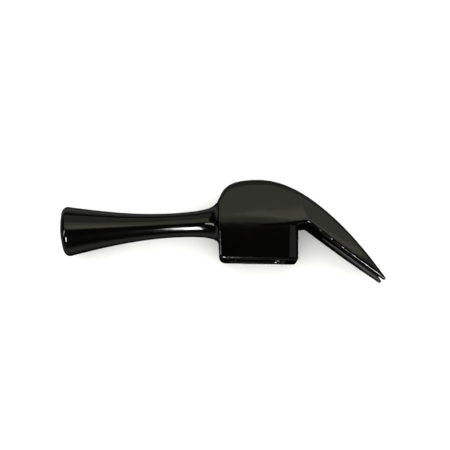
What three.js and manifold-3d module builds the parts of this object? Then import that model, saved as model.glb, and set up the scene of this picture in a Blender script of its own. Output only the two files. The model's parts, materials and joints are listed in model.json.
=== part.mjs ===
// Head of a claw tack hammer, without its handle: one forging, with a magnet set in its striking face.
// Millimetres. The head lies on its side. X runs along it, from the striking face to the claw, Y runs
// along the handle's axis, up to the crown, and Z points up, square to the middle plane.
// The origin is on the surface that the head lies on, under the middle of its box.
import * as THREE from 'three';
import { LoftGeometry } from 'three/addons/geometries/LoftGeometry.js';
import { mergeVertices } from 'three/addons/utils/BufferGeometryUtils.js';
import Module from 'manifold-3d';

const wasm = await Module();
wasm.setup();

// The head is drawn about the point where the handle's axis crosses the belt line, which is where the
// cheeks meet the skirt, with Z = 0 halfway between the cheeks.

// Skirt and cheeks, round the eye
const headThickness = 19;
const skirtLength = 30.4;
const skirtDepth = 14.3; // below the belt line
const skirtLean = 0.7; // the poll end comes in by this much at the bottom
const skirtTaper = 7; // degrees, of each side of the skirt towards its bottom
const cornerRadius = 2; // of the upright corners
const rimRadius = 0.8; // round the bottom of the skirt
const crownHeight = 16.6; // above the belt line
const shoulderHeight = 8.2; // where the poll end starts to round over into the crown
const shoulderRise = 3; // how far it carries on upwards as it does
const shoulderLean = 2; // and how far it leans in
const crownPull = 13.5; // how far the crown carries on levelly towards the poll
const crownReach = 21; // and towards the claw
const cheekTaper = 6; // degrees, of each cheek towards the crown
const skirtInset = 0.05; // of the skirt's top, in from the cheeks
const edgeRadius = 1.2; // along the crown and the claw

// Eye, narrowest at the belt line
const endWall = 5.2; // between the eye and each end of the skirt
const cheekWall = 4; // between the eye and each cheek
const eyeFlare = 1.2; // wider at each mouth than at the belt line
const eyeCornerRadius = 3.5;

// Claw
const clawReach = 47.4; // from the handle's axis to the tip
const clawDrop = 21.9; // from the belt line to the tip
const clawTipWidth = 14; // over both tines
const clawTipThickness = 0.9;
const tipPull = [-6, 8.3]; // from the tip, the way that the back comes down to it
const armpitReach = 3.6; // from the skirt to where the underside turns down
const armpitDrop = 0.5; // below the belt line
const armpitEase = 0.4; // how much higher the underside is, one step before it turns down
const slotLength = 27;
const tineWidth = 3; // at the tip
const slotRootWidth = 1.4;

// Poll and neck
const pollLength = 59.9; // from the skirt to the middle of the striking face
const pollRise = 0.8; // of its axis above the belt line, at the skirt
const pollDroop = 3.35; // degrees, towards the handle
const faceDiameter = 19;
const neckDiameter = 9.4;
const neckPlace = 17.5; // from the skirt to the thinnest part of the neck
const rootInset = 0.9; // of the neck's root, in from the cheeks
const rootFlare = 1.2; // how far the root has opened out, and from where on
const bellLip = 2.4; // how far inside the face's edge the bell is aimed
const faceCrown = 0.7;
const faceRadius = 1.9; // of the rounded rim of the striking face

// Magnet and sleeve, in a bore in the middle of the striking face
const magnetDiameter = 6;
const magnetLength = 8;
const sleeveWall = 1.2;
const fitGap = 0.3; // between a piece and the one that it sits in

const halfSkirt = skirtLength / 2;
const halfThickness = headThickness / 2;
const eyeLength = skirtLength - 2 * endWall;
const eyeWidth = headThickness - 2 * cheekWall;
const slotTipWidth = clawTipWidth - 2 * tineWidth;
const beltRise = 1.4; // of the widest line of the claw above its underside
const beltTuck = 0.15; // how far the underside's corners stand in from the belt
const underlap = 1; // how far the cheeks reach down into the skirt
const through = 4; // how far a cutter runs past what it cuts
const flarePull = 0.3; // shares of the neck's and the bell's length, which set how they curve
const bellPulls = [0.35, 0.7];
const faceRings = [0.75, 0.5, 0.25]; // shares of the flat of the face, at which it is curved
const edgeShare = 0.45; // most of a section's height that the radius of its edge may take
const leastRadius = 0.2;
const mergeTolerance = 1e-4;

// Facets
const cornerSteps = 4;
const roundSides = 56;
const slotRootSides = 8;
const eyeSteps = 12;
const shoulderSteps = [0, 0.05, 0.11, 0.18, 0.26, 0.34, 0.42, 0.5, 0.59, 0.69, 0.84];
const clawSteps = 22;
const armpitStep = 6; // of the claw's steps, the one at which the underside turns down
const flareSteps = 12;
const bellSteps = 14;

const taperSlope = Math.tan(THREE.MathUtils.degToRad(cheekTaper));
const skirtSlope = Math.tan(THREE.MathUtils.degToRad(skirtTaper));
const lerp = THREE.MathUtils.lerp;

// Closed meshes to solids and back, for the joins and cuts

function solidOf(geometry) {
  const bare = new THREE.BufferGeometry();
  bare.setAttribute('position', geometry.getAttribute('position'));
  bare.setIndex(geometry.index);
  const merged = mergeVertices(bare, mergeTolerance);
  return new wasm.Manifold(new wasm.Mesh({
    numProp: 3,
    vertProperties: merged.attributes.position.array,
    triVerts: new Uint32Array(merged.index.array),
  }));
}

function geometryOf(solid) {
  const mesh = solid.getMesh();
  const geometry = new THREE.BufferGeometry();
  geometry.setAttribute('position', new THREE.BufferAttribute(mesh.vertProperties, 3));
  geometry.setIndex(new THREE.BufferAttribute(mesh.triVerts, 1));
  geometry.computeVertexNormals();
  return geometry;
}

// Points of a quarter circle about (x, y). It starts at a number of quarter turns from the x axis.
function quarter(x, y, radius, start) {
  const points = [];
  for (let step = 0; step <= cornerSteps; step++) {
    const angle = (start + step / cornerSteps) * Math.PI / 2;
    points.push([x + radius * Math.cos(angle), y + radius * Math.sin(angle)]);
  }
  return points;
}

// A level rounded rectangle, long in X, at the height y.
function levelSection(length, width, radius, y, shiftX) {
  const x = length / 2 - radius;
  const z = width / 2 - radius;
  const outline = [
    ...quarter(x, z, radius, 0),
    ...quarter(-x, z, radius, 1),
    ...quarter(-x, -z, radius, 2),
    ...quarter(x, -z, radius, 3),
  ];
  return outline.map((point) => new THREE.Vector3(point[0] + shiftX, y, -point[1]));
}

// A section of the cheeks or the claw, from a point on the underside to one on the back. It is widest
// at the belt, a little above the underside.
function uprightSection(bottom, top, beltHalf, topHalf) {
  const up = new THREE.Vector2().subVectors(top, bottom);
  const height = up.length();
  up.normalize();
  const radius = Math.min(edgeRadius, height * edgeShare);
  const low = beltHalf - beltTuck - radius;
  const high = topHalf - radius;
  const belt = Math.min(beltRise, height / 2);
  const outline = [
    ...quarter(low, radius, radius, 3),
    [beltHalf, belt],
    ...quarter(high, height - radius, radius, 0),
    ...quarter(-high, height - radius, radius, 1),
    [-beltHalf, belt],
    ...quarter(-low, radius, radius, 2),
  ];
  const place = ([z, rise]) => new THREE.Vector3(bottom.x + up.x * rise, bottom.y + up.y * rise, z);
  return outline.map(place).reverse();
}

// Skirt: an upright block with rounded corners and a rounded bottom rim, thinner towards its bottom.
// Its top ends inside the cheeks.
function makeSkirt() {
  const bottom = -skirtDepth;
  const top = beltRise / 2;
  const section = (y, inset) => {
    const lean = skirtLean * (top - y) / (top - bottom);
    const radius = Math.max(cornerRadius - inset, leastRadius);
    const thickness = headThickness - 2 * (skirtInset + skirtSlope * (top - y) + inset);
    return levelSection(skirtLength - lean - 2 * inset, thickness, radius, y, lean / 2);
  };
  const sections = [];
  for (let step = cornerSteps; step >= 0; step--) {
    const angle = step / cornerSteps * Math.PI / 2;
    sections.push(section(bottom + rimRadius * (1 - Math.sin(angle)), rimRadius * (1 - Math.cos(angle))));
  }
  sections.push(section(top, 0));
  return solidOf(new LoftGeometry(sections, { capStart: true, capEnd: true }));
}

// Cheeks and claw: sections from the poll end, over the eye, to the claw's tip. Each stands on the
// underside and reaches the back, which is two smooth curves that meet at the crown.
function makeCheeksAndClaw() {
  const crown = new THREE.Vector2(0, crownHeight);
  const shoulder = new THREE.CubicBezierCurve(
    new THREE.Vector2(-halfSkirt, shoulderHeight),
    new THREE.Vector2(-halfSkirt + shoulderLean, shoulderHeight + shoulderRise),
    new THREE.Vector2(-crownPull, crownHeight),
    crown,
  );
  const tip = new THREE.Vector2(clawReach, -clawDrop);
  const armpit = new THREE.Vector2(halfSkirt + armpitReach, -armpitDrop);
  const along = new THREE.Vector2().subVectors(tip, armpit).normalize();
  const outward = new THREE.Vector2(-along.y, along.x);
  const clawLength = tip.distanceTo(armpit);
  const tipBack = tip.clone().addScaledVector(outward, clawTipThickness);
  const back = new THREE.CubicBezierCurve(
    crown,
    new THREE.Vector2(crownReach, crownHeight),
    tipBack.clone().add(new THREE.Vector2(...tipPull)),
    tipBack,
  );

  const sections = [];
  for (const step of shoulderSteps) {
    const top = shoulder.getPoint(step);
    const bottom = new THREE.Vector2(top.x, -underlap);
    const fromEnd = Math.max(cornerRadius - (top.x + halfSkirt), 0);
    const corner = cornerRadius - Math.sqrt(cornerRadius ** 2 - fromEnd ** 2);
    const beltHalf = halfThickness - corner;
    sections.push(uprightSection(bottom, top, beltHalf, beltHalf - taperSlope * top.y));
  }
  for (let step = 0; step <= clawSteps; step++) {
    const top = back.getPoint(step / clawSteps);
    const run = Math.max((step - armpitStep) / (clawSteps - armpitStep), 0);
    const before = Math.min(step / armpitStep, 1);
    const bottom = step < armpitStep
      ? new THREE.Vector2(armpit.x * before, lerp(-underlap, armpit.y + armpitEase, before))
      : armpit.clone().addScaledVector(along, clawLength * run);
    const beltHalf = lerp(halfThickness, clawTipWidth / 2, run);
    sections.push(uprightSection(bottom, top, beltHalf, beltHalf - taperSlope * top.distanceTo(bottom)));
  }
  const solid = solidOf(new LoftGeometry(sections, { capStart: true, capEnd: true }));
  return { solid, tip, along, outward };
}

// Nail slot: a V with a round root, cut square to the claw's underside.
function makeSlot(claw) {
  const rootRadius = slotRootWidth / 2;
  const slope = (slotTipWidth / 2 - rootRadius) / slotLength;
  const tipHalf = slotTipWidth / 2 + slope * through;
  const shape = new THREE.Shape();
  shape.moveTo(through, -tipHalf);
  shape.lineTo(through, tipHalf);
  shape.lineTo(-slotLength, rootRadius);
  shape.absarc(-slotLength, 0, rootRadius, Math.PI / 2, Math.PI * 3 / 2, false);
  const height = crownHeight + through;
  const geometry = new THREE.ExtrudeGeometry(shape, {
    depth: height,
    bevelEnabled: false,
    curveSegments: slotRootSides,
  });
  const along = new THREE.Vector3(claw.along.x, claw.along.y, 0);
  const outward = new THREE.Vector3(claw.outward.x, claw.outward.y, 0);
  const across = new THREE.Vector3().crossVectors(outward, along);
  geometry.translate(0, 0, -through);
  geometry.applyMatrix4(new THREE.Matrix4().makeBasis(along, across, outward));
  geometry.translate(claw.tip.x, claw.tip.y, 0);
  return solidOf(geometry);
}

// Eye: it runs right through, from the bottom of the skirt to the crown, and flares to both mouths.
function makeEye() {
  const low = -skirtDepth - through;
  const high = crownHeight + through;
  const sections = [];
  for (let step = 0; step <= eyeSteps; step++) {
    const y = lerp(low, high, step / eyeSteps);
    const flare = eyeFlare * (y < 0 ? y / skirtDepth : y / crownHeight) ** 2;
    sections.push(levelSection(eyeLength + flare, eyeWidth + flare, eyeCornerRadius, y, 0));
  }
  return solidOf(new LoftGeometry(sections, { capStart: true, capEnd: true }));
}

// Poll and neck: turned about their own axis, which starts inside the cheeks and ends at the face.
function makePoll() {
  const rimStart = pollLength - faceCrown - faceRadius;
  const halfFace = faceDiameter / 2;
  const halfNeck = neckDiameter / 2;
  const halfRoot = halfThickness - rootInset;
  const flare = new THREE.CubicBezierCurve(
    new THREE.Vector2(halfRoot, 0),
    new THREE.Vector2(halfNeck + rootFlare, rootFlare),
    new THREE.Vector2(halfNeck, neckPlace * flarePull),
    new THREE.Vector2(halfNeck, neckPlace),
  );
  const bell = new THREE.CubicBezierCurve(
    new THREE.Vector2(halfNeck, neckPlace),
    new THREE.Vector2(halfNeck, lerp(neckPlace, rimStart, bellPulls[0])),
    new THREE.Vector2(halfFace - bellLip, lerp(neckPlace, rimStart, bellPulls[1])),
    new THREE.Vector2(halfFace, rimStart),
  );
  const rim = [];
  for (const [x, y] of quarter(halfFace - faceRadius, rimStart, faceRadius, 0)) {
    rim.push(new THREE.Vector2(x, y));
  }
  const flat = halfFace - faceRadius;
  const crown = faceRings.map((share) => new THREE.Vector2(
    flat * share,
    rimStart + faceRadius + faceCrown * (1 - share ** 2),
  ));
  const profile = [
    new THREE.Vector2(0, -cornerRadius),
    new THREE.Vector2(halfRoot, -cornerRadius),
    ...flare.getPoints(flareSteps),
    ...bell.getPoints(bellSteps).slice(1, -1),
    ...rim,
    ...crown,
    new THREE.Vector2(0, pollLength),
  ];
  return new THREE.LatheGeometry(profile, roundSides);
}

// Everything on the poll's axis is drawn along +Y from the skirt's end, then turned with this matrix.
const pollPlace = new THREE.Matrix4()
  .makeRotationZ(THREE.MathUtils.degToRad(90 + pollDroop))
  .setPosition(-halfSkirt, pollRise, 0);

const sleeveInner = magnetDiameter / 2 + fitGap;
const sleeveOuter = sleeveInner + sleeveWall;
const boreRadius = sleeveOuter + fitGap;
const magnetTop = pollLength - fitGap;
const boreFloor = magnetTop - magnetLength - fitGap;

function makeBore() {
  const depth = pollLength - boreFloor + through;
  const bore = new THREE.CylinderGeometry(boreRadius, boreRadius, depth, roundSides);
  bore.translate(0, boreFloor + depth / 2, 0);
  return solidOf(bore.applyMatrix4(pollPlace));
}

const claw = makeCheeksAndClaw();
const poll = solidOf(makePoll().applyMatrix4(pollPlace));
const forging = makeSkirt()
  .add(claw.solid)
  .add(poll)
  .subtract(makeEye())
  .subtract(makeSlot(claw))
  .subtract(makeBore());

const lacqueredSteel = new THREE.MeshStandardMaterial({ color: 0x0b0b0a, roughness: 0.18, metalness: 0 });
const brass = new THREE.MeshStandardMaterial({ color: 0xb08a3e, roughness: 0.35, metalness: 1 });
const magnetSteel = new THREE.MeshStandardMaterial({ color: 0x8b8d8f, roughness: 0.4, metalness: 1 });

const head = new THREE.Group();
const forgedHead = new THREE.Mesh(geometryOf(forging), lacqueredSteel);
forgedHead.name = 'forged_head';
head.add(forgedHead);

// Magnet and sleeve, in a group on the poll's axis
const faceGroup = new THREE.Group();
faceGroup.applyMatrix4(pollPlace);
head.add(faceGroup);

const magnetRadius = magnetDiameter / 2;
const magnetGeometry = new THREE.CylinderGeometry(magnetRadius, magnetRadius, magnetLength, roundSides);
const magnet = new THREE.Mesh(magnetGeometry, magnetSteel);
magnet.name = 'face_magnet';
magnet.position.y = magnetTop - magnetLength / 2;
faceGroup.add(magnet);

const sleeveGeometry = new THREE.LatheGeometry([
  new THREE.Vector2(sleeveInner, magnetLength),
  new THREE.Vector2(sleeveInner, 0),
  new THREE.Vector2(sleeveOuter, 0),
  new THREE.Vector2(sleeveOuter, magnetLength),
  new THREE.Vector2(sleeveInner, magnetLength),
], roundSides);
const sleeve = new THREE.Mesh(sleeveGeometry, brass);
sleeve.name = 'magnet_sleeve';
sleeve.position.y = magnetTop - magnetLength;
faceGroup.add(sleeve);

// The origin goes under the middle of the head's box, on the surface that it lies on.
const box = new THREE.Box3().setFromObject(head);
const middle = box.getCenter(new THREE.Vector3());
head.position.set(-middle.x, -middle.y, -box.min.z);

export default head;
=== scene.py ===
# The head of a claw tack hammer, lying on a pale studio floor. Everything is in metres.
import json
from math import cos, hypot, pi, radians, sin, sqrt, tan

import bmesh
import bpy
from mathutils import Matrix, Vector


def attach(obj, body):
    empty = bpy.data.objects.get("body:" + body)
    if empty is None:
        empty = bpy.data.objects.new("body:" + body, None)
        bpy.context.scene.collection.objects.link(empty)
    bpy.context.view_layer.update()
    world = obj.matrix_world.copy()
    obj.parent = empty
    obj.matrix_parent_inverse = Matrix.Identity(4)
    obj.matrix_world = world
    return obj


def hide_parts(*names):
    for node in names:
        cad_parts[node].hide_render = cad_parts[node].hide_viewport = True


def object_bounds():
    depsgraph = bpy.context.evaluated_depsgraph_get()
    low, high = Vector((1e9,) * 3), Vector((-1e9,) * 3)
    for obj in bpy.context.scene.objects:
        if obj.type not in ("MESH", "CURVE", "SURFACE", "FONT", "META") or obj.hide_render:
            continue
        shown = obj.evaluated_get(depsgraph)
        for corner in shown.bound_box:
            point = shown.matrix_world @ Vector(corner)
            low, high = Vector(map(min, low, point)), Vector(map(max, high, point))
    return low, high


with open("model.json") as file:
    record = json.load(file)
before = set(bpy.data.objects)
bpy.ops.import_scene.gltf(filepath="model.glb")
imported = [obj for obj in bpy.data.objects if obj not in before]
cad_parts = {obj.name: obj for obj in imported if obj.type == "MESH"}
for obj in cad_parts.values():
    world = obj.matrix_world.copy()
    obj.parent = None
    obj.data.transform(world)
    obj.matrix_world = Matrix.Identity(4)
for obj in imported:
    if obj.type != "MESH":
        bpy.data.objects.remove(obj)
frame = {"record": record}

cadLow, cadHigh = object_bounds()
mm = 0.001

# Sizes of the forging, in millimetres and degrees. Its own origin is where the handle's axis crosses
# the belt line, which is where the cheeks meet the skirt: x to the claw, y to the crown, z upwards.
head = {
    "thickness": 19, "cheekTaper": 6, "skirtTaper": 8, "beltHeight": 1.8, "beltBlend": 4,
    "skirtLength": 30.4, "skirtDepth": 14.3, "skirtLean": 0.7, "skirtTilt": 0.02,
    "pollCorner": (0.9, 0.9), "clawCorner": (5.4, 1.5),
    "pollRim": 2.2, "clawRim": 0.8, "sideRim": 0.9,
    "skirtTop": 1.0, "skirtHide": 0.15,   # the skirt goes on into the cheeks, narrower than they are
    "shoulderHeight": 8.2, "shoulderPull": (2, 3), "crownHeight": 16.6, "crownPull": (13.5, 21),
    "crownEdge": 3.2, "clawEdge": 0.9,
    "clawTip": (47.4, -21.9), "clawTipWidth": 14, "clawTipThickness": 0.9, "tipPull": (-6, 8.3),
    "armpit": (18.8, -0.5), "underBulge": 0.3,
    "cheekFoot": -2.0,   # the cheeks go on down into the skirt
    "clawBeltHeight": 1.6, "clawBeltDrop": 0.7, "edgeThins": 1.6,
    "voxel": 0.35, "smoothing": 5,
}
cutThrough = 4   # how far a cutter reaches past what it cuts

mounts = {mount["name"]: mount for mount in frame["record"]["mounts"]}
openings = {opening["name"]: opening for opening in frame["record"]["physics"]["openings"]}
eyeLow, eyeHigh = openings["eye"]["box_m"]
headOrigin = Vector((
    (eyeLow[0] + eyeHigh[0]) / 2,
    mounts["handle_seat"]["pos_m"][1] + head["skirtDepth"] * mm,
    (cadLow.z + cadHigh.z) / 2,
))
headPlace = Matrix.Translation(headOrigin) @ Matrix.Scale(mm, 4)
halfSkirt = head["skirtLength"] / 2
halfThickness = head["thickness"] / 2

poll = {
    "length": 59.9, "rise": 0.8, "droop": 3.35, "faceDiameter": 19, "neckDiameter": 9.4,
    "rootInset": 1.7, "rootFlare": (1.1, 1.1), "neckPlace": 17.5, "flarePull": 0.3, "bellLip": 2.4,
    "bellPulls": (0.35, 0.7), "faceCrown": 0.9, "faceEdge": 2.1, "groundDiameter": 13.4,
}

# The poll is turned about its own y, which runs from the skirt's end to the striking face.
pollTurn = radians(90 + poll["droop"])
pollPlace = Matrix.Translation((-halfSkirt, poll["rise"], 0)) @ Matrix.Rotation(pollTurn, 4, "Z")


def mix(a, b, share):
    return a + (b - a) * share


def bezier(points, share):
    points = [Vector(point) for point in points]
    while len(points) > 1:
        points = [a.lerp(b, share) for a, b in zip(points, points[1:])]
    return points[0]


# Points of a quarter of an ellipse about (x, y), from a number of quarter turns on.
def quarter(x, y, radiusX, radiusY, start, steps=8):
    angles = [(start + step / steps) * pi / 2 for step in range(steps + 1)]
    return [(x + radiusX * cos(angle), y + radiusY * sin(angle)) for angle in angles]


# A closed body from rings that all have the same number of points.
def loft(name, rings):
    mesh = bmesh.new()
    rows = [[mesh.verts.new(point) for point in ring] for ring in rings]
    for low, high in zip(rows, rows[1:]):
        for i in range(len(low)):
            j = (i + 1) % len(low)
            mesh.faces.new((low[i], low[j], high[j], high[i]))
    mesh.faces.new(rows[0][::-1])
    mesh.faces.new(rows[-1])
    bmesh.ops.recalc_face_normals(mesh, faces=mesh.faces)
    data = bpy.data.meshes.new(name)
    mesh.to_mesh(data)
    mesh.free()
    piece = bpy.data.objects.new(name, data)
    bpy.context.scene.collection.objects.link(piece)
    return piece


# A body turned about its own y, from (radius, height) points, put in its place by a matrix.
def turned(name, profile, place, sides=96):
    rings = []
    for radius, height in profile:
        angles = [2 * pi * side / sides for side in range(sides)]
        rings.append([place @ Vector((radius * cos(a), height, radius * sin(a))) for a in angles])
    return loft(name, rings)


def applyModifiers(piece):
    evaluated = piece.evaluated_get(bpy.context.evaluated_depsgraph_get())
    finished = bpy.data.meshes.new_from_object(evaluated)
    piece.modifiers.clear()
    piece.data = finished


def cut(piece, *cutters):
    for cutter in cutters:
        boolean = piece.modifiers.new("Cut " + cutter.name, "BOOLEAN")
        boolean.operation = "DIFFERENCE"
        boolean.solver = "EXACT"
        boolean.object = cutter
    applyModifiers(piece)


def remove(*pieces):
    for piece in pieces:
        bpy.data.objects.remove(piece)


# How far a side stands in from its widest line, at a height above it: two tapers and a soft bend between.
def sideInset(height):
    taper = head["cheekTaper"] if height > 0 else head["skirtTaper"]
    return tan(radians(taper)) * (hypot(height, head["beltBlend"]) - head["beltBlend"])


# How far a rounded rim of a radius stands in, at a height above its bottom.
def rimInset(height, radius):
    return radius - sqrt(radius ** 2 - (radius - height) ** 2) if height < radius else 0


# Skirt: level rings from its bottom to a little above the belt line, where the cheeks cover it.
def makeSkirt():
    bottom, top = -head["skirtDepth"], head["skirtTop"]
    rimSteps, sideSteps = 12, 16
    heights = [head["pollRim"] * (1 - cos(pi / 2 * step / rimSteps)) for step in range(rimSteps)]
    heights += [mix(head["pollRim"], top - bottom, step / sideSteps) for step in range(sideSteps + 1)]
    rings = []
    for height in heights:
        y = bottom + height
        half = halfThickness - sideInset(y - head["beltHeight"]) - rimInset(height, head["sideRim"])
        half -= max(y, 0) * head["skirtHide"]
        lean = head["skirtLean"] * (top - y) / (top - bottom)
        low = -halfSkirt + lean + rimInset(height, head["pollRim"])
        high = halfSkirt - rimInset(height, head["clawRim"])
        ring = []
        corners = [(high, half, "clawCorner", 0), (low, half, "pollCorner", 1),
                   (low, -half, "pollCorner", 2), (high, -half, "clawCorner", 3)]
        for x, z, corner, start in corners:
            radiusX, radiusZ = head[corner]
            centreX = x - radiusX if start in (0, 3) else x + radiusX
            centreZ = z - radiusZ if z > 0 else z + radiusZ
            ring += quarter(centreX, centreZ, radiusX, radiusZ, start)
        tilt = head["skirtTilt"] / halfSkirt
        rings.append([Vector((x, y * (1 + tilt * x) if y < 0 else y, z)) for x, z in ring])
    return loft("skirt", rings)


# One upright ring of the cheeks or the claw, from a point on the underside to one on the back.
def uprightRing(bottom, top, beltHalf, beltHeight, lowEdge, highEdge):
    up = top - bottom
    height = up.length
    up.normalize()
    widest = height * 0.45   # leaves some side between the two rounded edges of a thin ring
    low, high = min(lowEdge, widest), min(highEdge, widest)
    sideSteps = 28
    side = []
    for step in range(sideSteps + 1):
        rise = mix(low, height - high, step / sideSteps)
        side.append((beltHalf - sideInset(rise - beltHeight), rise))
    outline = quarter(side[0][0] - low, low, low, low, 3)[:-1] + side
    outline += quarter(side[-1][0] - high, height - high, high, high, 0)[1:]
    outline += [(-z, rise) for z, rise in reversed(outline)]
    return [Vector((bottom.x + up.x * rise, bottom.y + up.y * rise, z)) for z, rise in outline]


# Cheeks and claw: upright rings from the poll end, over the eye, to the claw's tip.
def makeCheeksAndClaw():
    crown = Vector((0, head["crownHeight"]))
    pollPull, clawPull = head["crownPull"]
    leanX, riseY = head["shoulderPull"]
    shoulder = [
        (-halfSkirt, head["shoulderHeight"]),
        (-halfSkirt + leanX, head["shoulderHeight"] + riseY),
        (-pollPull, crown.y),
        crown,
    ]
    tip, armpit = Vector(head["clawTip"]), Vector(head["armpit"])
    along = (tip - armpit).normalized()
    outward = Vector((-along.y, along.x))
    tipBack = tip + outward * head["clawTipThickness"]
    back = [crown, (clawPull, crown.y), tipBack + Vector(head["tipPull"]), tipBack]
    clawLength = (tip - armpit).length
    rings = []
    foot = head["cheekFoot"]
    cornerX, cornerZ = head["pollCorner"]
    shoulderSteps, crowding = 40, 1.4   # the rings crowd towards the skirt's end, round its corner
    for step in range(shoulderSteps):
        top = bezier(shoulder, (step / shoulderSteps) ** crowding)
        fromEnd = max(1 - (top.x + halfSkirt) / cornerX, 0)
        corner = cornerZ * (1 - sqrt(1 - fromEnd ** 2))
        rings.append(uprightRing(Vector((top.x, foot)), top, halfThickness - corner,
                                 head["beltHeight"] - foot, head["clawEdge"], head["crownEdge"]))
    clawSteps, armpitStep = 72, 18
    for step in range(clawSteps + 1):
        top = bezier(back, step / clawSteps)
        before = min(step / armpitStep, 1)
        run = max((step - armpitStep) / (clawSteps - armpitStep), 0)
        bottom = Vector((armpit.x * before, mix(foot, armpit.y, before ** 2)))
        if run:
            bottom = armpit + along * clawLength * run - outward * head["underBulge"] * sin(pi * run)
        beltHalf = mix(halfThickness, head["clawTipWidth"] / 2, run)
        beltHeight = mix(head["beltHeight"] - foot, head["clawBeltHeight"], before)
        beltHeight *= 1 - head["clawBeltDrop"] * run
        edge = mix(head["crownEdge"], head["clawEdge"], min(head["edgeThins"] * step / clawSteps, 1))
        rings.append(uprightRing(bottom, top, beltHalf, beltHeight, head["clawEdge"], edge))
    return loft("cheeksAndClaw", rings)


slot = {"length": 27, "tipWidth": 8, "rootWidth": 1.4, "bevel": 0.5, "bevelReach": 1.5, "groundMargin": 0.9}

# The slot's own place: its origin is at the claw's tip, x runs outward along the claw, z is square to it.
clawAlong = (Vector((*head["clawTip"], 0)) - Vector((*head["armpit"], 0))).normalized()
clawOutward = Vector((-clawAlong.y, clawAlong.x, 0))
slotPlace = Matrix.Translation((*head["clawTip"], 0)) @ Matrix(
    (clawAlong, (0, 0, 1), clawOutward)).transposed().to_4x4()
slotSlope = (slot["tipWidth"] - slot["rootWidth"]) / 2 / slot["length"]


# Nail slot: a V with a round root, cut square to the underside, and a bevel round it underneath.
def makeSlotCutters():
    rootRadius = slot["rootWidth"] / 2

    def outline(offset, height):
        tipHalf = slot["tipWidth"] / 2 + slotSlope * cutThrough + offset
        ring = [(cutThrough, -tipHalf), (cutThrough, tipHalf)]
        root = rootRadius + offset
        ring += quarter(-slot["length"], 0, root, root, 1) + quarter(-slot["length"], 0, root, root, 2)[1:]
        return [slotPlace @ Vector((x, y, height)) for x, y in ring]

    slotCutter = loft("slotCutter", [outline(0, -cutThrough), outline(0, head["crownHeight"] + cutThrough)])
    wide, bevel = slot["bevelReach"], slot["bevel"]
    bevelCutter = loft("slotBevelCutter", [outline(bevel + wide, -wide), outline(0, bevel)])
    return slotCutter, bevelCutter


eye = {"endWall": 5.2, "cheekWall": 4, "flare": 1.2, "corner": 3.5, "mouthBevel": 0.5}


# Eye: it runs right through, is narrowest at the belt line, and has a small bevel at each mouth.
def makeEyeCutter():
    low, high = -head["skirtDepth"] - cutThrough, head["crownHeight"] + cutThrough
    rings = []
    eyeSteps = 60
    for step in range(eyeSteps + 1):
        y = mix(low, high, step / eyeSteps)
        flare = eye["flare"] * (y / (head["skirtDepth"] if y < 0 else head["crownHeight"])) ** 2
        past = max(-head["skirtDepth"] - y, y - head["crownHeight"])
        mouth = max(past + eye["mouthBevel"], 0)
        halfX = halfSkirt - eye["endWall"] + flare / 2 + mouth
        halfZ = halfThickness - eye["cheekWall"] + flare / 2 + mouth
        radius = eye["corner"] + mouth
        ring = []
        for start, (signX, signZ) in enumerate([(1, 1), (-1, 1), (-1, -1), (1, -1)]):
            ring += quarter(signX * (halfX - radius), signZ * (halfZ - radius), radius, radius, start)
        rings.append([Vector((x, y, z)) for x, z in ring])
    return loft("eyeCutter", rings)


# Poll and neck: one turned body from inside the cheeks to the striking face.
def makePoll():
    halfFace, halfNeck = poll["faceDiameter"] / 2, poll["neckDiameter"] / 2
    halfRoot = halfThickness - poll["rootInset"]
    rimStart = poll["length"] - poll["faceCrown"] - poll["faceEdge"]
    flareOut, flareUp = poll["rootFlare"]
    flare = [(halfRoot, 0), (halfNeck + flareOut, flareUp),
             (halfNeck, poll["neckPlace"] * poll["flarePull"]), (halfNeck, poll["neckPlace"])]
    lowPull, highPull = [mix(poll["neckPlace"], rimStart, pull) for pull in poll["bellPulls"]]
    bell = [(halfNeck, poll["neckPlace"]), (halfNeck, lowPull), (halfFace - poll["bellLip"], highPull),
            (halfFace, rimStart)]
    rootDepth = 2   # how far the neck goes on into the cheeks
    flareSteps, bellSteps, edgeSteps, crownSteps = 40, 60, 10, 12
    profile = [(halfRoot, -rootDepth)]
    profile += [bezier(flare, step / flareSteps) for step in range(flareSteps)]
    profile += [bezier(bell, step / bellSteps) for step in range(bellSteps)]
    flat = halfFace - poll["faceEdge"]
    profile += quarter(flat, rimStart, poll["faceEdge"], poll["faceEdge"], 0, edgeSteps)
    rimTop = rimStart + poll["faceEdge"]
    for step in range(1, crownSteps):
        share = 1 - step / crownSteps
        profile.append((flat * share, rimTop + poll["faceCrown"] * (1 - share ** 2)))
    return turned("poll", profile, pollPlace, sides=128)


magnet = {"diameter": 6, "length": 8, "sleeveWall": 1.2, "gap": 0.3, "seam": 0.03, "bevel": 0.25}
sleeveInner = magnet["diameter"] / 2 + magnet["gap"]
sleeveOuter = sleeveInner + magnet["sleeveWall"]
boreRadius = sleeveOuter + magnet["gap"]
magnetTop = poll["length"] - magnet["gap"]
magnetBottom = magnetTop - magnet["length"]


def makeBoreCutter():
    floor = magnetBottom - magnet["gap"]
    return turned("boreCutter", [(boreRadius, floor), (boreRadius, poll["length"] + cutThrough)], pollPlace)


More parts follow.
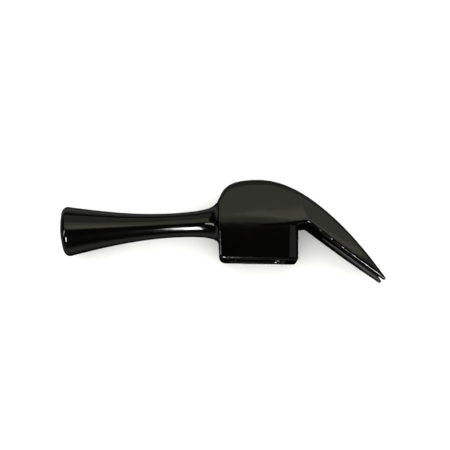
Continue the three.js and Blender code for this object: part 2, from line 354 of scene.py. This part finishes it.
# The three bodies overlap where they meet, and the voxels make one skin round them all.
def makeForging():
    cheeksAndClaw, skirt, pollBody = makeCheeksAndClaw(), makeSkirt(), makePoll()
    eyeCutter, boreCutter = makeEyeCutter(), makeBoreCutter()
    slotCutter, bevelCutter = makeSlotCutters()
    cut(cheeksAndClaw, eyeCutter, slotCutter, bevelCutter)
    cut(skirt, eyeCutter)
    cut(pollBody, boreCutter)
    joined = bmesh.new()
    for body in (cheeksAndClaw, skirt, pollBody):
        joined.from_mesh(body.data)
    data = bpy.data.meshes.new("forgedHeadSkin")
    joined.transform(headPlace)
    joined.to_mesh(data)
    joined.free()
    forging = bpy.data.objects.new("forgedHeadSkin", data)
    bpy.context.scene.collection.objects.link(forging)
    remove(cheeksAndClaw, skirt, pollBody, eyeCutter, boreCutter, slotCutter, bevelCutter)

    voxels = forging.modifiers.new("Forged skin", "REMESH")
    voxels.mode = "VOXEL"
    voxels.voxel_size = head["voxel"] * mm
    smooth = forging.modifiers.new("Soft edges", "SMOOTH")
    smooth.factor = 0.5
    smooth.iterations = head["smoothing"]
    applyModifiers(forging)
    forging.data.polygons.foreach_set("use_smooth", [True] * len(forging.data.polygons))
    print("forging:", len(forging.data.polygons), "faces")
    return forging


# Magnet and sleeve: each fills the gap round it but for a hair's breadth, and has bevelled ends.
def makeMagnetAndSleeve():
    bevel, seam = magnet["bevel"], magnet["seam"]
    radius = sleeveInner - seam
    rod = turned("magnetRod", [
        (radius - bevel, magnetBottom), (radius, magnetBottom + bevel),
        (radius, magnetTop - bevel), (radius - bevel, magnetTop)], headPlace @ pollPlace)
    outer = boreRadius - seam
    ringProfile = [
        (sleeveInner, magnetBottom + bevel), (sleeveInner + bevel, magnetBottom),
        (outer - bevel, magnetBottom), (outer, magnetBottom + bevel),
        (outer, magnetTop - bevel), (outer - bevel, magnetTop),
        (sleeveInner + bevel, magnetTop), (sleeveInner, magnetTop - bevel)]
    sleeve = turned("magnetSleeve", ringProfile, headPlace @ pollPlace)
    mesh = bmesh.new()
    mesh.from_mesh(sleeve.data)
    caps = [face for face in mesh.faces if len(face.verts) > 4]
    bmesh.ops.delete(mesh, geom=caps, context="FACES_ONLY")
    bmesh.ops.bridge_loops(mesh, edges=[edge for edge in mesh.edges if edge.is_boundary])
    bmesh.ops.recalc_face_normals(mesh, faces=mesh.faces)
    mesh.to_mesh(sleeve.data)
    mesh.free()
    return rod, sleeve


print("scene: shaping the pieces")
forgedHead = makeForging()
magnetRod, magnetSleeve = makeMagnetAndSleeve()


# Materials

def newMaterial(name):
    material = bpy.data.materials.new(name)
    material.use_nodes = True
    nodes, links = material.node_tree.nodes, material.node_tree.links

    def add(kind, x, y, **settings):
        node = nodes.new(kind)
        node.location = (x, y)
        for key, value in settings.items():
            if hasattr(node, key):
                setattr(node, key, value)
            else:
                node.inputs[key].default_value = value
        return node

    return material, nodes["Principled BSDF"], add, links.new


lacquer = {"colour": (0.0001, 0.0001, 0.0001, 1), "thinColour": (0.0005, 0.0004, 0.0003, 1),
           "roughness": (0.08, 0.14), "slotRoughness": 0.5, "peel": 0.06, "peelSize": 520}
steel = {"colour": (0.5, 0.5, 0.49, 1), "roughness": (0.24, 0.42), "raggedEdge": 0.0005}


def makeLacquer():
    material, shader, add, link = newMaterial("blackLacquer")
    shader.inputs["IOR"].default_value = 1.5
    place = add("ShaderNodeTexCoord", -1400, 0)

    # colour: black, with a trace of thin brown where the dip ran off
    patches = add("ShaderNodeTexNoise", -1100, 300, Scale=60, Detail=4, Roughness=0.6)
    link(place.outputs["Object"], patches.inputs["Vector"])
    colour = add("ShaderNodeValToRGB", -850, 300)
    colour.color_ramp.elements[0].position = 0.35
    colour.color_ramp.elements[0].color = lacquer["colour"]
    colour.color_ramp.elements[1].position = 0.8
    colour.color_ramp.elements[1].color = lacquer["thinColour"]
    link(patches.outputs["Fac"], colour.inputs["Fac"])

    # gloss: clouds of slightly different roughness
    cloud = add("ShaderNodeTexNoise", -1100, 0, Scale=220, Detail=5, Roughness=0.55)
    link(place.outputs["Object"], cloud.inputs["Vector"])
    gloss = add("ShaderNodeMapRange", -850, 0)
    gloss.inputs["To Min"].default_value, gloss.inputs["To Max"].default_value = lacquer["roughness"]
    link(cloud.outputs["Fac"], gloss.inputs["Value"])

    # the lacquer is thin and dull on the walls of the nail slot, where they were ground
    slotTip = headPlace @ slotPlace @ Vector()
    fromTip = add("ShaderNodeVectorMath", -1100, -800, operation="SUBTRACT")
    fromTip.inputs[1].default_value = slotTip
    link(place.outputs["Object"], fromTip.inputs[0])
    run = add("ShaderNodeVectorMath", -850, -800, operation="DOT_PRODUCT")
    run.inputs[1].default_value = clawAlong
    link(fromTip.outputs["Vector"], run.inputs[0])
    slotHalf = add("ShaderNodeMath", -600, -800, operation="MULTIPLY_ADD")
    slotHalf.inputs[1].default_value = slotSlope
    slotHalf.inputs[2].default_value = (slot["tipWidth"] / 2 + slot["groundMargin"]) * mm
    link(run.outputs["Value"], slotHalf.inputs[0])
    heights = add("ShaderNodeSeparateXYZ", -850, -1000)
    link(fromTip.outputs["Vector"], heights.inputs["Vector"])
    across = add("ShaderNodeMath", -600, -1000, operation="ABSOLUTE")
    link(heights.outputs["Z"], across.inputs[0])
    inSlot = add("ShaderNodeMath", -350, -900, operation="LESS_THAN")
    link(across.outputs["Value"], inSlot.inputs[0])
    link(slotHalf.outputs["Value"], inSlot.inputs[1])
    nearSlot = add("ShaderNodeMath", -600, -1200, operation="GREATER_THAN")
    nearSlot.inputs[1].default_value = -(slot["length"] + slot["groundMargin"]) * mm
    link(run.outputs["Value"], nearSlot.inputs[0])
    groundSlot = add("ShaderNodeMath", -100, -1000, operation="MULTIPLY")
    link(inSlot.outputs["Value"], groundSlot.inputs[0])
    link(nearSlot.outputs["Value"], groundSlot.inputs[1])
    slotRoughness = add("ShaderNodeMix", -350, 0, data_type="FLOAT")
    link(groundSlot.outputs["Value"], slotRoughness.inputs["Factor"])
    link(gloss.outputs["Result"], slotRoughness.inputs["A"])
    slotRoughness.inputs["B"].default_value = lacquer["slotRoughness"]

    # orange peel over the slow waves of the forging
    peel = add("ShaderNodeTexNoise", -1100, -300, Scale=lacquer["peelSize"], Detail=2)
    waves = add("ShaderNodeTexNoise", -1100, -550, Scale=90, Detail=1)
    link(place.outputs["Object"], peel.inputs["Vector"])
    link(place.outputs["Object"], waves.inputs["Vector"])
    waveBump = add("ShaderNodeBump", -600, -550, Strength=0.25, Distance=0.0004)
    peelBump = add("ShaderNodeBump", -350, -300, Strength=lacquer["peel"], Distance=0.0002)
    link(waves.outputs["Fac"], waveBump.inputs["Height"])
    link(waveBump.outputs["Normal"], peelBump.inputs["Normal"])
    link(peel.outputs["Fac"], peelBump.inputs["Height"])

    # the striking face is ground bright inside its rim, with rings left by the wheel
    faceCentre = headPlace @ pollPlace @ Vector((0, poll["length"], 0))
    toFace = add("ShaderNodeVectorMath", -1100, 900, operation="DISTANCE")
    toFace.inputs[1].default_value = faceCentre
    link(place.outputs["Object"], toFace.inputs[0])
    ragged = add("ShaderNodeTexNoise", -1100, 650, Scale=900, Detail=3)
    link(place.outputs["Object"], ragged.inputs["Vector"])
    edge = add("ShaderNodeMath", -850, 750, operation="MULTIPLY_ADD")
    edge.inputs[1].default_value = steel["raggedEdge"]
    link(ragged.outputs["Fac"], edge.inputs[0])
    link(toFace.outputs["Value"], edge.inputs[2])
    ground = add("ShaderNodeMath", -600, 750, operation="LESS_THAN")
    ground.inputs[1].default_value = poll["groundDiameter"] / 2 * mm
    link(edge.outputs["Value"], ground.inputs[0])
    brush = add("ShaderNodeTexNoise", -600, 1000, Scale=1500, Detail=3)
    link(place.outputs["Object"], brush.inputs["Vector"])
    brushRoughness = add("ShaderNodeMapRange", -350, 1000)
    for end, value in zip(("To Min", "To Max"), steel["roughness"]):
        brushRoughness.inputs[end].default_value = value
    link(brush.outputs["Fac"], brushRoughness.inputs["Value"])

    colourMix = add("ShaderNodeMix", -100, 300, data_type="RGBA")
    link(ground.outputs["Value"], colourMix.inputs["Factor"])
    link(colour.outputs["Color"], colourMix.inputs["A"])
    colourMix.inputs["B"].default_value = steel["colour"]
    roughnessMix = add("ShaderNodeMix", -100, 50, data_type="FLOAT")
    link(ground.outputs["Value"], roughnessMix.inputs["Factor"])
    link(slotRoughness.outputs["Result"], roughnessMix.inputs["A"])
    link(brushRoughness.outputs["Result"], roughnessMix.inputs["B"])
    link(colourMix.outputs["Result"], shader.inputs["Base Color"])
    link(roughnessMix.outputs["Result"], shader.inputs["Roughness"])
    link(ground.outputs["Value"], shader.inputs["Metallic"])
    link(peelBump.outputs["Normal"], shader.inputs["Normal"])
    return material


# Turned metal: fine rings about the poll's axis, and patches of slightly different polish.
def makeTurnedMetal(name, colour, darker, roughness):
    material, shader, add, link = newMaterial(name)
    shader.inputs["Metallic"].default_value = 1
    place = add("ShaderNodeTexCoord", -1100, 0)
    toFace = add("ShaderNodeVectorMath", -850, 250, operation="DISTANCE")
    toFace.inputs[1].default_value = headPlace @ pollPlace @ Vector((0, poll["length"], 0))
    link(place.outputs["Object"], toFace.inputs[0])
    rings = add("ShaderNodeTexNoise", -600, 250, noise_dimensions="1D", Scale=9000, Detail=3)
    link(toFace.outputs["Value"], rings.inputs["W"])
    patches = add("ShaderNodeTexNoise", -850, -50, Scale=400, Detail=4)
    link(place.outputs["Object"], patches.inputs["Vector"])
    shade = add("ShaderNodeMix", -300, 250, data_type="RGBA")
    shade.inputs["A"].default_value = darker
    shade.inputs["B"].default_value = colour
    link(patches.outputs["Fac"], shade.inputs["Factor"])
    polish = add("ShaderNodeMapRange", -300, 0)
    polish.inputs["To Min"].default_value, polish.inputs["To Max"].default_value = roughness
    link(patches.outputs["Fac"], polish.inputs["Value"])
    bump = add("ShaderNodeBump", -300, -250, Strength=0.15, Distance=0.0001)
    link(rings.outputs["Fac"], bump.inputs["Height"])
    link(shade.outputs["Result"], shader.inputs["Base Color"])
    link(polish.outputs["Result"], shader.inputs["Roughness"])
    link(bump.outputs["Normal"], shader.inputs["Normal"])
    return material


print("scene: finishes")
forgedHead.data.materials.clear()
forgedHead.data.materials.append(makeLacquer())
magnetSleeve.data.materials.append(makeTurnedMetal(
    "turnedBrass", (0.76, 0.55, 0.24, 1), (0.62, 0.43, 0.17, 1), (0.25, 0.42)))
magnetRod.data.materials.append(makeTurnedMetal(
    "magnetSteel", (0.46, 0.47, 0.48, 1), (0.36, 0.37, 0.38, 1), (0.3, 0.5)))

for piece, node, finish in [
        (forgedHead, "forged_head", "black_lacquer"),
        (magnetSleeve, "magnet_sleeve", "brass"),
        (magnetRod, "face_magnet", "magnet")]:
    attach(piece, "root")
    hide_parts(node)


# Studio: a pale floor, soft lights and one camera.
studio = {"floorSize": 6.0, "floorColour": (0.82, 0.82, 0.8, 1), "grain": 0.02, "surround": 1.95,
          "mirrored": [(0, 0), (0.1, 0.02), (0.3, 0.35), (0.45, 0.26), (0.51, 0.08), (0.6, 0.02),
                       (1, 0.01)]}   # (place from straight down to straight up, brightness)


def makeFloor():
    half = studio["floorSize"] / 2
    corners = [(-half, -half, 0), (half, -half, 0), (half, half, 0), (-half, half, 0)]
    mesh = bpy.data.meshes.new("floor")
    mesh.from_pydata(corners, [], [(0, 1, 2, 3)])
    floor = bpy.data.objects.new("floor", mesh)
    bpy.context.scene.collection.objects.link(floor)
    material, shader, add, link = newMaterial("paleFloor")
    place = add("ShaderNodeTexCoord", -900, 0)
    grain = add("ShaderNodeTexNoise", -700, 0, Scale=40, Detail=4)
    link(place.outputs["Object"], grain.inputs["Vector"])
    shade = add("ShaderNodeMix", -400, 0, data_type="RGBA")
    shade.inputs["A"].default_value = studio["floorColour"]
    darker = [value - studio["grain"] for value in studio["floorColour"][:3]]
    shade.inputs["B"].default_value = (*darker, 1)
    link(grain.outputs["Fac"], shade.inputs["Factor"])
    link(shade.outputs["Result"], shader.inputs["Base Color"])
    shader.inputs["Roughness"].default_value = 1
    shader.inputs["Specular IOR Level"].default_value = 0
    mesh.materials.append(material)
    floor.visible_glossy = False


# A rectangular light. Angles are from straight up, towards +y and +x; its radiance is in display white.
# It lights the head alone, so that the floor keeps its soft shadows.
litByPanels = bpy.data.collections.new("litByPanels")


def addPanel(name, upY, upX, distance, size, radiance, colour=(1, 1, 1)):
    direction = Vector((tan(radians(upX)), tan(radians(upY)), 1)).normalized()
    data = bpy.data.lights.new(name, "AREA")
    data.shape = "RECTANGLE"
    data.size, data.size_y = size
    data.energy = radiance * size[0] * size[1] * pi
    data.color = colour
    panel = bpy.data.objects.new(name, data)
    bpy.context.scene.collection.objects.link(panel)
    panel.location = headOrigin + direction * distance
    panel.rotation_mode = "QUATERNION"
    panel.rotation_quaternion = direction.to_track_quat("Z", "Y")
    panel.light_linking.receiver_collection = litByPanels
    return panel


def makeLights():
    for piece in (forgedHead, magnetRod, magnetSleeve):
        litByPanels.objects.link(piece)
    olive = (1, 1, 0.8)
    # five panels side by side have a soft edge, which is the fade over the belt line
    for upY in (16, 18, 20, 22, 24):
        addPanel("overheadPanel", upY, 0, 1.0, (1.3, 0.62), 0.15, olive)
    addPanel("edgePanel", 10, 10, 0.95, (0.3, 0.2), 0.5, olive)
    addPanel("backPanel", 58, 0, 1.0, (1.6, 0.62), 0.35, olive)
    addPanel("frontLamp", -46, -12, 0.8, (0.14, 0.3), 34)
    addPanel("leftStrip", -18, -42, 0.9, (0.14, 0.6), 6)
    addPanel("rightPanel", -10, 35, 1.0, (0.3, 0.6), 0.3)


# An even pale surround lights the floor. The lacquer mirrors a ramp instead: black straight down, pale
# towards the horizon and nearly black above it.
def makeWorld():
    world = bpy.data.worlds.new("studio")
    bpy.context.scene.world = world
    world.use_nodes = True
    nodes, links = world.node_tree.nodes, world.node_tree.links
    place = nodes.new("ShaderNodeTexCoord")
    split = nodes.new("ShaderNodeSeparateXYZ")
    height = nodes.new("ShaderNodeMapRange")
    height.inputs["From Min"].default_value = -1
    ramp = nodes.new("ShaderNodeValToRGB")
    elements = ramp.color_ramp.elements
    for spare in range(len(studio["mirrored"]) - len(elements)):
        elements.new(0.5)
    for element, (position, value) in zip(elements, studio["mirrored"]):
        element.position = position
        element.color = (value, value, value * 0.9, 1)
    links.new(place.outputs["Generated"], split.inputs["Vector"])
    links.new(split.outputs["Z"], height.inputs["Value"])
    links.new(height.outputs["Result"], ramp.inputs["Fac"])
    rays = nodes.new("ShaderNodeLightPath")
    seen = nodes.new("ShaderNodeMix")
    seen.data_type = "RGBA"
    surround = studio["surround"]
    seen.inputs["A"].default_value = (surround, surround, surround * 0.99, 1)
    links.new(rays.outputs["Is Glossy Ray"], seen.inputs["Factor"])
    links.new(ramp.outputs["Color"], seen.inputs["B"])
    links.new(seen.outputs["Result"], nodes["Background"].inputs["Color"])


# The camera looks down on the side of the head, from a little on the handle's side.
view = {"target": (-12.3, 0, 0), "elevation": 80.8, "distance": 370, "lens": 77.2, "sensor": 36}


def makeCamera():
    data = bpy.data.cameras.new("camera")
    data.lens = view["lens"]
    data.sensor_width = view["sensor"]
    data.clip_start, data.clip_end = 0.01, 20
    camera = bpy.data.objects.new("camera", data)
    bpy.context.scene.collection.objects.link(camera)
    elevation = radians(view["elevation"])
    back = Vector((0, -cos(elevation), sin(elevation)))
    camera.location = headPlace @ (Vector(view["target"]) + back * view["distance"])
    camera.rotation_mode = "QUATERNION"
    camera.rotation_quaternion = (-back).to_track_quat("-Z", "Y")
    bpy.context.scene.camera = camera


print("scene: studio")
makeFloor()
makeLights()
makeWorld()
makeCamera()
bpy.context.scene.view_settings.view_transform = "Standard"

print("scene: done")
